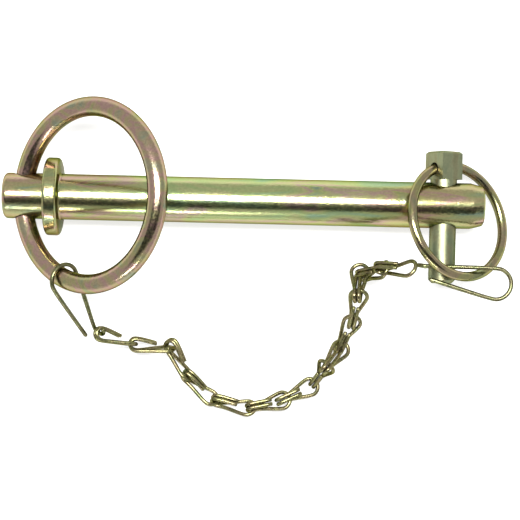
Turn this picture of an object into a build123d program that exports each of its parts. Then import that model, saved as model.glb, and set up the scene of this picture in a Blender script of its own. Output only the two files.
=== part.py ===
"""Hitch pin: a collared pin, its handle ring, a linch pin with its own ring, and a wire chain that joins the two.

Frame: +X runs along the main pin from its head to its tip, +Y along the linch pin towards its head, +Z up.
The origin is on the pin's axis at the collar's face on the shank side. All sizes are in millimetres.
"""

from build123d import *
from math import asin, atan2, cos, degrees, radians, sin, sqrt
import os

os.makedirs("parts", exist_ok=True)

# Main pin
pin_dia = 19.05
grip_length = 159.0  # collar face to the centre of the linch pin's hole
end_length = 16.5  # linch pin's hole to the tip
tip_cone_length = 5.5
tip_cone_depth = 1.4
tip_edge = 0.6
head_length = 23.2  # collar face to the head's end
head_round = 1.8
collar_dia = 32.4
collar_thickness = 5.8
collar_round = 1.3
weld_round = 0.8  # root of the collar, on both sides

# Handle ring, through the head
handle_mean_radius = 35.75
handle_rod_dia = 8.0
handle_hole_from_end = 8.3
handle_lean = 35.0  # degrees that the ring stands up from the shank
handle_play = 0.12  # round the rod where it leaves the hole

# Linch pin
linch_dia = 11.0
linch_play = 0.3  # round the linch pin in its hole
linch_below = 32.3
linch_tip_chamfer = 1.4
linch_head_start = 10.8
linch_head_height = 11.6
linch_head_width = 10.8
linch_head_edge = 0.9
linch_turn = 34.0  # degrees that the head and its ring are turned about the linch pin

# Linch ring, its ends in the head
linch_ring_radius = 23.6
linch_ring_dia = 4.0
linch_ring_drop = 7.0  # ring's centre below the main pin's axis
linch_ring_offset = 3.6  # ring's centre to the side of the linch pin's axis
linch_ring_gap = 3.0  # between the two ends, inside the head
linch_ring_lift = 14.0  # degrees that the ring stands out in front of the tip
linch_ring_play = 0.15

# Chain wire and links
wire_dia = 1.7
wire_sides = 8
link_play = 0.3
eye_radius = 3.7  # wire's centre, round the wide end
link_length = 15.9  # outside of the fold to the eye's centre
fold_radius = 2.8  # wire's centre, round the hook's fold
strand_length = 12.2  # outside of the fold to the cut ends
strand_end_height = 2.7  # cut ends above the legs
leg_spread = 0.93  # each leg's centre from the link's middle
leg_length = 6.0  # outside of the fold to where the legs part

# End hooks
hook_wire_dia = 1.8
hook_bend_radius = 6.6
hook_length = 27.4  # bend's centre to the cut end
hook_mouth = 5.0  # between the strands at the cut end
hook_eye_radius = 3.1
left_eye_reach = 26.4  # bend's centre to the eye's centre
right_eye_reach = 29.2
hook_eye_return = 0.5  # the eye's cut end, back from its centre
hook_seat = 1.0  # handle ring's centre from the bend's centre

# Where the chain lies
hook_grip = 70.0  # degrees round the handle ring from the head to the left hook
left_pull = Vector(14.2, -57.6, -2.0)
right_bend_out = 12.6  # right hook's bend past the linch ring's lowest place, along X
right_bend_down = 2.7  # and below it, along Y
right_bend_rise = 0.8  # bend's centre above the linch pin
right_slope = Vector(-35.6, 5.0, 1.1)  # the way that the hook lies
# For each link the point that it is pulled towards, its X as a share of the grip length, and its roll in degrees
chain_lay = [
    ((0.2006, -61.1, -8.0), -103),
    ((0.3019, -62.7, -10.7), -80),
    ((0.3478, -75.5, -9.9), -64),
    ((0.4182, -85.1, -11.9), -42),
    ((0.5220, -87.4, -10.9), -38),
    ((0.6138, -82.6, -11.5), -18),
    ((0.6855, -76.1, -12.1), -7),
    ((0.7094, -66.8, 0.8), -10),
    ((0.7560, -58.6, -7.7), -2),
    ((0.7786, -47.0, -1.9), 9),
    ((0.7868, -35.9, 5.4), 0),
    ((0.7881, -25.2, -3.1), -15),
    ((0.8541, -26.2, 9.5), -41),
    ((0.9208, -26.0, 16.9), -33),
]

handle_hole_x = handle_hole_from_end - head_length
tip_x = grip_length + end_length
pin_radius = pin_dia / 2
handle_rod = handle_rod_dia / 2
wire = wire_dia / 2


def pin_outline():
    """Half section of the main pin, from the head's end to the tip."""
    Polyline(
        (-head_length, 0),
        (-head_length, pin_radius),
        (-collar_thickness, pin_radius),
        (-collar_thickness, collar_dia / 2),
        (0, collar_dia / 2),
        (0, pin_radius),
        (tip_x - tip_cone_length, pin_radius),
        (tip_x, pin_radius - tip_cone_depth),
        (tip_x, 0),
        close=True,
    )


# The ring bows inside its hole, so the hinge line lies midway between the rod's nearest and farthest places
handle_bow = handle_mean_radius - sqrt(handle_mean_radius**2 - pin_radius**2)
handle_reach = handle_mean_radius - handle_bow / 2
handle_hole_dia = handle_rod_dia + handle_bow + 2 * handle_play

with BuildPart() as main_pin:
    with BuildSketch(Plane.XY) as pin_section:
        with BuildLine():
            pin_outline()
        make_face()
        corners = pin_section.vertices()
        fillet([v for v in corners if v.Y > 1 and abs(v.X + head_length) < 0.01], head_round)
        fillet(pin_section.vertices().group_by(Axis.Y)[-1], collar_round)
        fillet([v for v in pin_section.vertices() if abs(v.Y - pin_radius) < 0.01 and -head_length / 2 < v.X < 1],
               weld_round)
        chamfer([v for v in pin_section.vertices() if v.Y > 1 and abs(v.X - tip_x) < 0.01], tip_edge)
    revolve(axis=Axis.X)
    with Locations(Location(Plane(origin=(handle_hole_x, 0, 0), z_dir=(0, 1, 0)))):
        Hole(handle_hole_dia / 2)
    with Locations(Location(Plane(origin=(grip_length, 0, 0), z_dir=(0, 1, 0)))):
        Hole(linch_dia / 2 + linch_play)
main_pin.part.label = "main_pin"
export_step(main_pin.part, "parts/main_pin.step")

# Handle ring: it leans about the hinge line in the head
handle_plane = Plane(
    origin=(handle_hole_x, 0, 0),
    x_dir=(cos(radians(handle_lean)), 0, sin(radians(handle_lean))),
    z_dir=(-sin(radians(handle_lean)), 0, cos(radians(handle_lean))),
)

with BuildPart() as handle_ring:
    with BuildLine(Plane(handle_plane.from_local_coords((handle_reach, 0, 0)), handle_plane.x_dir,
                         handle_plane.z_dir)):
        CenterArc((0, 0), handle_mean_radius, 0, 360)
    with BuildSketch(Plane(handle_plane.from_local_coords((handle_reach + handle_mean_radius, 0, 0)),
                           handle_plane.x_dir, handle_plane.y_dir)):
        Circle(handle_rod)
    sweep()
handle_ring.part.label = "handle_ring"
export_step(handle_ring.part, "parts/handle_ring.step")

# Linch pin: turned about its own axis, which is the main frame's Y
turn = radians(linch_turn)
linch_plane = Plane(origin=(grip_length, 0, 0), x_dir=(cos(turn), 0, -sin(turn)), z_dir=(sin(turn), 0, cos(turn)))

# The ring's wire crosses the head as a short arc, so its hinge line is that arc's chord, a little below its top
ring_side = -linch_ring_offset
ring_rise = sqrt(linch_ring_radius**2 - ring_side**2)
hinge_slope = atan2(-ring_side, ring_rise)
head_half = linch_head_width / 2
ring_bow = (head_half / cos(hinge_slope)) ** 2 / (2 * linch_ring_radius)
hinge_height = ring_rise - linch_ring_drop - ring_bow / 2
hinge_origin = linch_plane.from_local_coords((0, hinge_height, 0))
hinge_dir = linch_plane.x_dir * cos(hinge_slope) + linch_plane.y_dir * sin(hinge_slope)

with BuildPart() as linch_pin:
    with BuildSketch(Plane(origin=(grip_length, -linch_below, 0), x_dir=linch_plane.x_dir, z_dir=(0, 1, 0))):
        Circle(linch_dia / 2)
    extrude(amount=linch_below + linch_head_start)
    chamfer(linch_pin.edges().group_by(Axis.Y)[0], linch_tip_chamfer)
    with BuildSketch(Plane(origin=(grip_length, linch_head_start, 0), x_dir=linch_plane.x_dir, z_dir=(0, 1, 0))):
        Rectangle(linch_head_width, linch_head_width)
    head_block = extrude(amount=linch_head_height)
    chamfer(linch_pin.edges().group_by(Axis.Y)[-1], linch_head_edge)
    with Locations(Location(Plane(origin=hinge_origin, z_dir=hinge_dir))):
        Hole((linch_ring_dia + ring_bow) / 2 + linch_ring_play)
linch_pin.part.label = "linch_pin"
export_step(linch_pin.part, "parts/linch_pin.step")

# Linch ring: swung out about its hinge line so that it stands clear of the main pin's tip
hinge_turn = Axis((0, 0, 0), hinge_dir)
ring_x = linch_plane.x_dir.rotate(hinge_turn, -linch_ring_lift)
ring_z = linch_plane.z_dir.rotate(hinge_turn, -linch_ring_lift)
flat_centre = linch_plane.from_local_coords((linch_ring_offset, -linch_ring_drop, 0))
ring_plane = Plane(
    origin=hinge_origin + (flat_centre - hinge_origin).rotate(hinge_turn, -linch_ring_lift),
    x_dir=ring_x,
    z_dir=ring_z,
)
half_gap = degrees(asin(linch_ring_gap / 2 / linch_ring_radius))
gap_middle = 90 + degrees(hinge_slope)

with BuildPart() as linch_ring:
    with BuildLine(ring_plane) as ring_line:
        CenterArc((0, 0), linch_ring_radius, gap_middle + half_gap, 360 - 2 * half_gap)
    with BuildSketch(Plane(origin=ring_line.line @ 0, z_dir=ring_line.line % 0)):
        Circle(linch_ring_dia / 2)
    sweep()
linch_ring.part.label = "linch_ring"
export_step(linch_ring.part, "parts/linch_ring.step")


def bent_wire(frame, route, dia):
    """Wire of eight flats, bent through the points of a route that is given in a frame."""
    points = [frame.from_local_coords(point) for point in route]
    with BuildPart() as piece:
        with BuildLine():
            Polyline(*points)
        with BuildSketch(Plane(origin=points[0], x_dir=frame.z_dir, z_dir=points[1] - points[0])):
            RegularPolygon(dia / 2, wire_sides, major_radius=False, rotation=180 / wire_sides)
        sweep(transition=Transition.RIGHT)
    return piece.part


def arc_points(centre, radius, start, end, count):
    """Points evenly spaced round an arc in a plane, both ends included."""
    turns = [radians(start + (end - start) * i / count) for i in range(count + 1)]
    return [(centre[0] + radius * cos(t), centre[1] + radius * sin(t)) for t in turns]


def link_route():
    """One link's wire: cut end, fold, leg, wide eye, and back the same way. X runs from the fold to the eye."""
    fold = arc_points((fold_radius + wire, fold_radius), fold_radius, 90, 270, 5)
    near = [(strand_length, leg_spread, strand_end_height)]
    near += [(x, leg_spread, z) for x, z in fold]
    near += [(leg_length, leg_spread, 0)]
    eye = arc_points((link_length, 0), eye_radius, 105, -105, 7)
    far = [(x, -y, z) for x, y, z in reversed(near)]
    return near + [(x, y, 0) for x, y in eye] + far


def link_frame(eye, radius, target, roll):
    """Frame of the next link, hooked on the end of the eye whose frame is given, and lying towards a point."""
    toward = target - eye.origin
    flat = toward - eye.z_dir * toward.dot(eye.z_dir)
    hold = eye.origin + flat.normalized() * radius
    pull = target - hold
    # The held wire lies midway between legs and strands, which close in towards the cut ends
    closing = (2 * fold_radius - strand_end_height) / (strand_length - fold_radius - wire) / 2
    mid_height = fold_radius + closing * (fold_radius + wire)
    far_end = link_length + eye_radius
    spare = (far_end + mid_height * closing) ** 2 - (1 + closing**2) * (
        far_end**2 + mid_height**2 - pull.length**2)
    held_x = (far_end + mid_height * closing - sqrt(max(spare, 0))) / (1 + closing**2)
    held_x = max(held_x, wire_dia + wire + link_play)
    held_z = min(fold_radius, mid_height - closing * held_x)
    tilt = atan2(held_z, far_end - held_x)
    ahead = pull.normalized()
    level = Vector(0, 0, 1).cross(ahead).normalized()
    across = level.rotate(Axis((0, 0, 0), ahead), roll)
    upright = ahead.cross(across)
    x_dir = ahead * cos(tilt) + upright * sin(tilt)
    z_dir = upright * cos(tilt) - ahead * sin(tilt)
    return Plane(origin=hold - z_dir * held_z - x_dir * held_x, x_dir=x_dir, z_dir=z_dir)


def hook_route(eye_reach):
    """An end hook's wire: cut end, wide bend, then a straight strand that turns back in an upright eye."""
    spread = hook_bend_radius - hook_mouth / 2
    slope = degrees(asin(spread / hook_length))
    bend = arc_points((0, 0), hook_bend_radius, -90 + slope, -270 - slope, 8)
    turn = arc_points((eye_reach, hook_eye_radius), hook_eye_radius, -90, 90, 6)
    route = [(hook_length, -hook_mouth / 2, 0)]
    route += [(x, y, 0) for x, y in bend]
    route += [(x, hook_mouth / 2, z) for x, z in turn]
    route += [(eye_reach - hook_eye_return, hook_mouth / 2, 2 * hook_eye_radius)]
    return route


def hook_eye(hook, eye_reach):
    """Frame of an end hook's eye: its X is the hook's own, its Z the way that a pin through the eye would lie."""
    centre = hook.from_local_coords((eye_reach, hook_mouth / 2, hook_eye_radius))
    return Plane(origin=centre, x_dir=hook.x_dir, z_dir=hook.y_dir)


# Left hook: its bend goes round the handle ring's rod, square to it, and it slopes down to the chain
grip = radians(hook_grip)
grip_point = handle_plane.from_local_coords((
    handle_reach - handle_mean_radius * cos(grip),
    -handle_mean_radius * sin(grip),
    0,
))
rod_dir = handle_plane.x_dir * sin(grip) - handle_plane.y_dir * cos(grip)
left_x = (left_pull - grip_point).normalized()
left_z = (rod_dir - left_x * rod_dir.dot(left_x)).normalized()
left_frame = Plane(origin=grip_point + left_x * hook_seat, x_dir=left_x, z_dir=left_z)
left_hook = bent_wire(left_frame, hook_route(left_eye_reach), hook_wire_dia)
left_hook.label = "left_hook"
export_step(left_hook, "parts/left_hook.step")

# Right hook: its bend hangs past the linch ring, and it lies over the linch pin
ring_down = (ring_z * ring_z.Y - Vector(0, 1, 0)).normalized()
ring_low = ring_plane.origin + ring_down * linch_ring_radius
right_bend = Vector(ring_low.X + right_bend_out, ring_low.Y - right_bend_down, linch_dia / 2 + right_bend_rise)
right_x = right_slope.normalized()
right_z = (Vector(0, 0, -1) + right_x * right_x.Z).normalized()
right_frame = Plane(origin=right_bend, x_dir=right_x, z_dir=right_z)
right_hook = bent_wire(right_frame, hook_route(right_eye_reach), hook_wire_dia)
right_hook.label = "right_hook"
export_step(right_hook, "parts/right_hook.step")

# Chain: each link hooks on the one before it, and the first on the left hook's eye
frame = hook_eye(left_frame, left_eye_reach)
held_radius = hook_eye_radius
for number, ((share, y, z), roll) in enumerate(chain_lay, start=1):
    frame = link_frame(frame, held_radius, Vector(share * grip_length, y, z), roll)
    link = bent_wire(frame, link_route(), wire_dia)
    link.label = f"link_{number:02d}"
    export_step(link, f"parts/link_{number:02d}.step")
    frame = frame.shift_origin(frame.from_local_coords((link_length, 0, 0)))
    held_radius = eye_radius
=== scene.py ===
from math import radians

import bmesh
import bpy
from mathutils import Matrix, Vector


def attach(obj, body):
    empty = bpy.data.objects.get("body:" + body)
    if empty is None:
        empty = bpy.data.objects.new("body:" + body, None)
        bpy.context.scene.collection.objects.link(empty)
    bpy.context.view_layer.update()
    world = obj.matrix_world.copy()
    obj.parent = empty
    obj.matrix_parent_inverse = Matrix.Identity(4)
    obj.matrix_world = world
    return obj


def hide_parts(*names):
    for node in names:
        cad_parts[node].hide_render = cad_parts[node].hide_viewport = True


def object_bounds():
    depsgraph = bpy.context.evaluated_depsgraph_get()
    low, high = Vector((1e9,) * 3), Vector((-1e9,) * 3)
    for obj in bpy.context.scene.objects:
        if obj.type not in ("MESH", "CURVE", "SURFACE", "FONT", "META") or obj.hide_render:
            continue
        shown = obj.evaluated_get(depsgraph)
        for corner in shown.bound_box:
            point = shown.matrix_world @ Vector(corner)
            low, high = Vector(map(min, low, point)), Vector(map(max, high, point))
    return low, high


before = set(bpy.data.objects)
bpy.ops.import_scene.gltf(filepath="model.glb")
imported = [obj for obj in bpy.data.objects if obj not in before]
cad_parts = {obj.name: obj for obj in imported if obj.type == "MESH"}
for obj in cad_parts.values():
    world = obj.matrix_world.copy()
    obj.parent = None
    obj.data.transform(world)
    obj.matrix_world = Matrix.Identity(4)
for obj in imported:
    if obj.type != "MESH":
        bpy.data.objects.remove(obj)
cad_low, cad_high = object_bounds()
MM = 0.001

# ---------------------------------------------------------------- table, lights and camera
# A plain white table top under the pin, lit as on a copy stand. A wide soft panel hangs just behind
# the upright camera and a dark flag just in front of it, so the round bars show a bright line
# beside a dark one.
table_size = 14.0
table_place = (0.08, 0, cad_low[2] - 0.3 * MM)  # just under the lowest piece
table_white = "bcbcba"
table_glow = 0.62  # added where the table is seen or mirrored, so that it is white there


def linear(colour):
    """A hex colour as the linear values that a shader takes."""
    parts = [int(colour[i:i + 2], 16) / 255 for i in (0, 2, 4)]
    return tuple(c / 12.92 if c <= 0.04045 else ((c + 0.055) / 1.055) ** 2.4 for c in parts) + (1,)


def add(tree, kind, settings=None, values=None, links=None):
    """Adds one node, with its settings, its input values, and the sockets that feed it."""
    node = tree.nodes.new(kind)
    for key, value in (settings or {}).items():
        setattr(node, key, value)
    for key, value in (values or {}).items():
        node.inputs[key].default_value = value
    for key, socket in (links or {}).items():
        tree.links.new(socket, node.inputs[key])
    return node


def new_material(name, values):
    """A material whose one shader has these values, with its node tree and that shader."""
    material = bpy.data.materials.new(name)
    material.use_nodes = True
    shader = material.node_tree.nodes["Principled BSDF"]
    for key, value in values.items():
        shader.inputs[key].default_value = value
    return material, material.node_tree, shader


# Matt laminate: an even white that mirrors nothing and still takes the pin's soft shadow.
laminate, tree, shader = new_material("white matt laminate", {
    "Base Color": linear(table_white), "Roughness": 0.9, "Specular IOR Level": 0.1,
    "Emission Color": linear("ffffff")})
rays = add(tree, "ShaderNodeLightPath").outputs
mirrored = add(tree, "ShaderNodeMath", {"operation": "MAXIMUM"},
               links={0: rays["Is Glossy Ray"], 1: rays["Is Transmission Ray"]})
seen = add(tree, "ShaderNodeMath", {"operation": "MAXIMUM"},
           links={0: rays["Is Camera Ray"], 1: mirrored.outputs[0]})
glow = add(tree, "ShaderNodeMath", {"operation": "MULTIPLY"}, {1: table_glow},
           {0: seen.outputs[0]})
tree.links.new(glow.outputs[0], shader.inputs["Emission Strength"])

bpy.ops.mesh.primitive_plane_add(size=table_size)
table = bpy.context.object
table.name = "table_top"
table.data.transform(Matrix.Translation(table_place))
table.data.materials.append(laminate)

room_light = 0.8
world = bpy.data.worlds.new("studio white")
bpy.context.scene.world = world
world.use_nodes = True
room = world.node_tree.nodes["Background"]
room.inputs["Color"].default_value = linear("ffffff")
room.inputs["Strength"].default_value = room_light


def soft_panel(name, width, depth, watts, place):
    """A soft rectangular lamp that faces the middle of the pin."""
    lamp = bpy.data.lights.new(name, "AREA")
    lamp.shape = "RECTANGLE"
    lamp.size = width
    lamp.size_y = depth
    lamp.energy = watts
    holder = bpy.data.objects.new(name, lamp)
    holder.location = place
    holder.rotation_euler = (pin_middle - Vector(place)).to_track_quat("-Z", "Y").to_euler()
    holder.visible_camera = False
    bpy.context.scene.collection.objects.link(holder)


pin_middle = Vector((0.08, -0.02, 0))
soft_panel("panel_overhead", width=0.50, depth=0.15, watts=11.5, place=(0.08, 0.115, 0.72))
soft_panel("strip_in_front", width=0.34, depth=0.03, watts=0.95, place=(-0.02, -0.62, 0.26))

# Felt that swallows light. The flag is hidden from the camera, because it hangs between a raised
# camera and the pin, and only the metal sees it.
flag_width = 1.6
flag_depth = 0.72
flag_height = 0.75
flag_back = -0.03
bpy.ops.mesh.primitive_plane_add(size=1)
flag = bpy.context.object
flag.name = "dark_flag"
flag.data.transform(Matrix.Translation((pin_middle.x, flag_back - flag_depth / 2, flag_height))
                    @ Matrix.Diagonal((flag_width, flag_depth, 1, 1)))
felt, tree, shader = new_material("dark grey felt", {
    "Base Color": linear("262b2b"), "Roughness": 1.0})
flag.data.materials.append(felt)
flag.visible_camera = False

view_place = (0.08345, -0.0244, 0.600)
view_roll = 1.35  # degrees
view_width = 0.2161  # seen across at the height of the pin's axis
lens = bpy.data.cameras.new("camera")
lens.sensor_width = 36
lens.lens = lens.sensor_width * view_place[2] / view_width
camera = bpy.data.objects.new("camera", lens)
camera.location = view_place
camera.rotation_euler = (0, 0, radians(view_roll))
bpy.context.scene.collection.objects.link(camera)
bpy.context.scene.camera = camera
bpy.context.scene.view_settings.view_transform = "Standard"

# ---------------------------------------------------------------- main pin
# A turned bar of carbon steel with a collar fixed to it for good, zinc plated and yellow
# passivated. The passivate is a film that drifts from olive through straw to mauve and green, over
# fine lines left by the drawing die.
smooth_angle = radians(35)
weld_gap = 0.002 * MM  # corners nearer than this are one corner


def film_over(tree, film, value):
    """The film's colours, one stop after another, as the value rises."""
    ramp = add(tree, "ShaderNodeValToRGB", links={"Fac": value})
    stops = ramp.color_ramp.elements
    for position, colour in film[1:-1]:
        stops.new(position)
    for stop, (position, colour) in zip(stops, film):
        stop.position = position
        stop.color = linear(colour)
    return ramp.outputs["Color"]


def plated_steel(name, film, patch_mm, line_mm, roughness, grain_um=15, shade=0.12):
    """Passivated zinc on steel: film colours that drift in patches, drawing lines, and a grain.

    Patches and lines have a size along X, Y and Z.
    """
    grain_mm = (0.8, 0.8, 0.8)  # the real crystals are far finer: this is as coarse as shows
    line_um = 3
    rim = linear("858a74")  # what the film reflects at a glancing angle
    material, tree, shader = new_material(name, {"Metallic": 1.0, "Specular Tint": rim})
    place = add(tree, "ShaderNodeTexCoord").outputs["Object"]
    noises = []
    for size_mm, detail, twist in ((patch_mm, 2.5, 0.6), (line_mm, 2.0, 0.0), (grain_mm, 3.0, 0.0)):
        scale = tuple(1 / (size * MM) for size in size_mm)
        spread = add(tree, "ShaderNodeMapping", values={"Scale": scale}, links={"Vector": place})
        noise = add(tree, "ShaderNodeTexNoise",
                    values={"Scale": 1.0, "Detail": detail, "Roughness": 0.55, "Distortion": twist},
                    links={"Vector": spread.outputs["Vector"]})
        noises.append(noise.outputs["Fac"])
    drift, lines, grain = noises
    dust = add(tree, "ShaderNodeMapRange",
               values={"From Min": 0.35, "From Max": 0.65, "To Min": 1.0 - shade, "To Max": 1.0},
               links={"Value": grain})
    toned = add(tree, "ShaderNodeMix", {"data_type": "RGBA", "blend_type": "MULTIPLY"},
                {"Factor": 1.0}, {"A": film_over(tree, film, drift), "B": dust.outputs["Result"]})
    dull = add(tree, "ShaderNodeMapRange",
               values={"From Min": 0.3, "From Max": 0.7, "To Min": roughness[0],
                       "To Max": roughness[1]},
               links={"Value": grain})
    grained = add(tree, "ShaderNodeBump",
                  values={"Strength": 1.0, "Distance": grain_um * MM / 1000},
                  links={"Height": grain})
    lined = add(tree, "ShaderNodeBump", values={"Strength": 1.0, "Distance": line_um * MM / 1000},
                links={"Height": lines, "Normal": grained.outputs["Normal"]})
    tree.links.new(toned.outputs["Result"], shader.inputs["Base Color"])
    tree.links.new(dull.outputs["Result"], shader.inputs["Roughness"])
    tree.links.new(lined.outputs["Normal"], shader.inputs["Normal"])
    return material


def skin_of(node):
    """The surface of a node's solid, closed up from its loose triangles."""
    surface = bmesh.new()
    surface.from_mesh(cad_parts[node].data)
    bmesh.ops.remove_doubles(surface, verts=surface.verts, dist=weld_gap)
    return surface


def finish_piece(surface, node, name, material):
    """Turns a finished surface into a piece that stands for its node and moves with it."""
    mesh = bpy.data.meshes.new(name)
    surface.to_mesh(mesh)
    surface.free()
    piece = bpy.data.objects.new(name, mesh)
    bpy.context.scene.collection.objects.link(piece)
    mesh.materials.append(material)
    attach(piece, node)
    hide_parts(node)
    return piece


def solid_piece(node, name, material):
    """A piece whose rounded faces shade as round, while its true edges stay crisp."""
    surface = skin_of(node)
    for face in surface.faces:
        face.smooth = True
    for edge in surface.edges:
        edge.smooth = len(edge.link_faces) == 2 and edge.calc_face_angle(0) < smooth_angle
    finish_piece(surface, node, name, material)


# Bright drawn bar under a clear film: long soft patches of colour on a glossy skin, whose grain
# makes the edges of the bright and dark lines ragged.
straw_film = [(0.28, "93ab8b"), (0.41, "a7b179"), (0.52, "b6af7f"), (0.59, "b89d8f"),
              (0.66, "aeb175"), (0.76, "8a9a8b")]
shank_zinc = plated_steel("yellow passivated zinc on drawn bar", straw_film, patch_mm=(30, 6, 6),
                          line_mm=(12, 0.9, 0.9), roughness=(0.15, 0.26), grain_um=60)

# The film is browner at the head and towards the tip, and greener along the middle of the shank.
end_film = [(0.0, "ecdfec"), (0.2, "e7e9e7"), (0.3, "f3fdff"), (0.7, "f6fcfd"), (0.8, "f0e8e2"),
            (1.0, "f3ecff")]
tree = shank_zinc.node_tree
shader = tree.nodes["Principled BSDF"]
place = add(tree, "ShaderNodeTexCoord").outputs["Object"]
axes = add(tree, "ShaderNodeSeparateXYZ", links={"Vector": place}).outputs
along = add(tree, "ShaderNodeMapRange", values={"From Min": cad_low[0], "From Max": cad_high[0]},
            links={"Value": axes["X"]})
shifted = add(tree, "ShaderNodeMix", {"data_type": "RGBA", "blend_type": "MULTIPLY"},
              {"Factor": 1.0},
              {"A": shader.inputs["Base Color"].links[0].from_socket,
               "B": film_over(tree, end_film, along.outputs["Result"])})
tree.links.new(shifted.outputs["Result"], shader.inputs["Base Color"])
solid_piece("main_pin", "pin_body", shank_zinc)

# ---------------------------------------------------------------- handle ring
# Round bar rolled into a ring through the head's cross hole and butt welded, plated with the pin.
# Its film shows more mauve than the shank's, with no drawing lines.
ring_film = [(0.28, "899078"), (0.39, "9e986d"), (0.46, "a59278"), (0.53, "a88981"),
             (0.60, "a39476"), (0.74, "888e79")]
ring_zinc = plated_steel("yellow passivated zinc on rolled bar", ring_film, patch_mm=(9, 9, 9),
                         line_mm=(3, 3, 3), roughness=(0.15, 0.27), grain_um=35)
solid_piece("handle_ring", "handle_ring_bar", ring_zinc)

# ---------------------------------------------------------------- linch pin and its ring
# A turned pin with a square upset head, and a sprung wire ring whose ends sit in a hole through
# the head. The pin's film is thin over a duller skin, so it looks grey-green and almost matt.
pale_film = [(0.30, "788167"), (0.45, "898d6f"), (0.55, "838063"), (0.70, "757e63")]
linch_zinc = plated_steel("pale passivated zinc on turned bar", pale_film, patch_mm=(6, 14, 6),
                          line_mm=(0.7, 6, 0.7), roughness=(0.34, 0.46), grain_um=4)
solid_piece("linch_pin", "linch_pin_body", linch_zinc)

# The ring's wire is glossier and more straw coloured than the pin that it goes through.
spring_film = [(0.30, "838763"), (0.44, "959164"), (0.54, "94856b"), (0.70, "7c8263")]
spring_zinc = plated_steel("passivated zinc on spring wire", spring_film, patch_mm=(9, 9, 9),
                           line_mm=(3, 3, 3), roughness=(0.15, 0.26))
solid_piece("linch_ring", "linch_ring_wire", spring_zinc)

# ---------------------------------------------------------------- chain and end hooks
# Double-wire links, each bent from one length of soft wire: a wide eye, two legs side by side, and
# a fold with two free strands that hooks on the next eye. The end hooks are bent from slightly
# thicker wire. Plated in bulk, both are dull olive and speckled.
wire_flat = 1.0 * MM  # flats are narrower than this, and the diagonals between them longer
level_angle = radians(0.5)  # faces that meet at less than this are one flat
quad_corners = 4  # the wire's flats have no more, and its cut ends do
wire_rounding = 2
cut_crease = 0.75  # keeps a cut end flat with a slightly worn edge
wire_speckle = 0.2
wire_film = [(0.30, "706f4d"), (0.44, "86845c"), (0.54, "83785b"), (0.70, "6b714e")]
hook_film = [(0.30, "626546"), (0.44, "767854"), (0.54, "736d53"), (0.70, "5e6747")]
link_zinc = plated_steel("olive passivated zinc on drawn wire", wire_film, patch_mm=(6, 6, 6),
                         line_mm=(2, 2, 2), roughness=(0.24, 0.38), shade=wire_speckle)
hook_zinc = plated_steel("dark olive passivated zinc on drawn wire", hook_film, patch_mm=(6, 6, 6),
                         line_mm=(2, 2, 2), roughness=(0.24, 0.38), shade=wire_speckle)


def round_wire(node, material):
    """Round wire from an eight-sided one: its flats become single faces, then it is subdivided."""
    surface = skin_of(node)
    diagonals = [edge for edge in surface.edges
                 if len(edge.link_faces) == 2 and edge.calc_face_angle(1) < level_angle
                 and edge.calc_length() > wire_flat]
    bmesh.ops.dissolve_edges(surface, edges=diagonals, use_verts=False)
    crease = surface.edges.layers.float.new("crease_edge")
    for face in surface.faces:
        face.smooth = True
        if len(face.verts) > quad_corners:
            for edge in face.edges:
                edge[crease] = cut_crease
    piece = finish_piece(surface, node, node + "_wire", material)
    rounding = piece.modifiers.new("round", "SUBSURF")
    rounding.levels = wire_rounding
    rounding.render_levels = wire_rounding


for node in sorted(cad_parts):
    if node.startswith("link_"):
        round_wire(node, link_zinc)
    elif node.endswith("_hook"):
        round_wire(node, hook_zinc)
